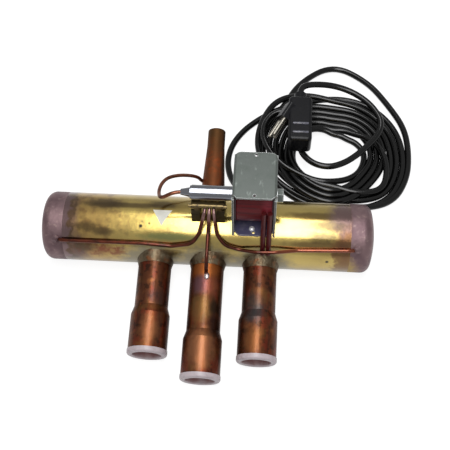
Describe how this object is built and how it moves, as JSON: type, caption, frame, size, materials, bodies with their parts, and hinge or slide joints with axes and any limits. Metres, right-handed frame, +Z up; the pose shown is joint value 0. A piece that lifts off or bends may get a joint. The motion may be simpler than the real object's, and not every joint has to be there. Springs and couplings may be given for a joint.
{
  "type": "four way reversing valve",
  "caption": "Brass four way reversing valve with copper port tubes, solenoid pilot, capillary tubes and a coiled supply cord with plug.",
  "frame": {"origin": "centre of the underside of the valve's bounding box, on the surface that it lies on", "axes": "+X along the brass body towards the solenoid end, +Y away from the port tubes towards the discharge tube, +Z up"},
  "size_m": [0.333, 0.3395, 0.1155],
  "materials": {
    "polished_brass": "polished, stained",
    "cap_metal": "dull, heat-darkened",
    "seat_brass": "machined",
    "copper": "heat-stained copper",
    "capillary_copper": "drawn copper",
    "braze_filler": "dull filler metal",
    "plug_plastic": "soft, translucent",
    "bracket_steel": "stamped, heat-stained",
    "stainless": "polished",
    "zinc_steel": "zinc plated",
    "bobbin_plastic": "moulded",
    "coil_tape": "wrapped tape",
    "lead_sleeve": "sleeved",
    "cord_rubber": "glossy sheath",
    "plug_moulding": "moulded",
    "pin_metal": "plated",
    "label_film": "printed film",
    "slide_nylon": "moulded",
    "seal_ptfe": "moulded",
    "carrier_steel": "stamped",
    "spring_steel": "drawn wire"
  },
  "bodies": {
    "valve_body": {"main_tube": "polished_brass", "left_end_cap": "cap_metal", "right_end_cap": "cap_metal", "port_seat": "seat_brass", "left_port_tube": "copper", "middle_port_tube": "copper", "right_port_tube": "copper", "discharge_tube": "copper", "braze_fillets": "braze_filler", "left_dust_plug": "plug_plastic", "middle_dust_plug": "plug_plastic", "right_dust_plug": "plug_plastic", "left_capillary": "capillary_copper", "middle_capillary": "capillary_copper", "right_capillary": "capillary_copper", "discharge_capillary": "capillary_copper", "triangle_label": "label_film", "pilot_bracket": "bracket_steel", "pilot_tube": "stainless", "pilot_end_stub": "stainless", "pilot_seat": "seat_brass", "fixed_core": "carrier_steel", "coil_screw": "zinc_steel", "screw_washer": "zinc_steel", "coil_yoke": "zinc_steel", "yoke_base_plate": "zinc_steel", "coil_bobbin": "bobbin_plastic", "coil_winding": "coil_tape", "coil_leads": "lead_sleeve", "cord_sleeve": "cord_rubber", "cord_lead": "cord_rubber", "cord_coil": "cord_rubber", "cord_tail": "cord_rubber", "plug_body": "plug_moulding", "plug_pins": "pin_metal"},
    "main_slide": {"slide_block": "slide_nylon", "slide_carrier": "carrier_steel", "left_piston": "seat_brass", "right_piston": "seat_brass", "piston_seals": "seal_ptfe", "seal_retainers": "carrier_steel", "piston_screws": "carrier_steel"},
    "pilot_plunger": {"plunger": "carrier_steel", "pilot_spindle": "carrier_steel", "pilot_slide": "slide_nylon", "plunger_spring": "spring_steel"}
  },
  "joints": [
    {"name": "main_slide_travel", "type": "slide", "parent": "valve_body", "child": "main_slide", "axis": [1, 0, 0], "range_m": [0, 0.0457]},
    {"name": "pilot_plunger_travel", "type": "slide", "parent": "valve_body", "child": "pilot_plunger", "axis": [1, 0, 0], "range_m": [0, 0.0025], "stiffness_N_per_m": 400, "springref_m": -0.004, "deforming": ["plunger_spring"]}
  ]
}
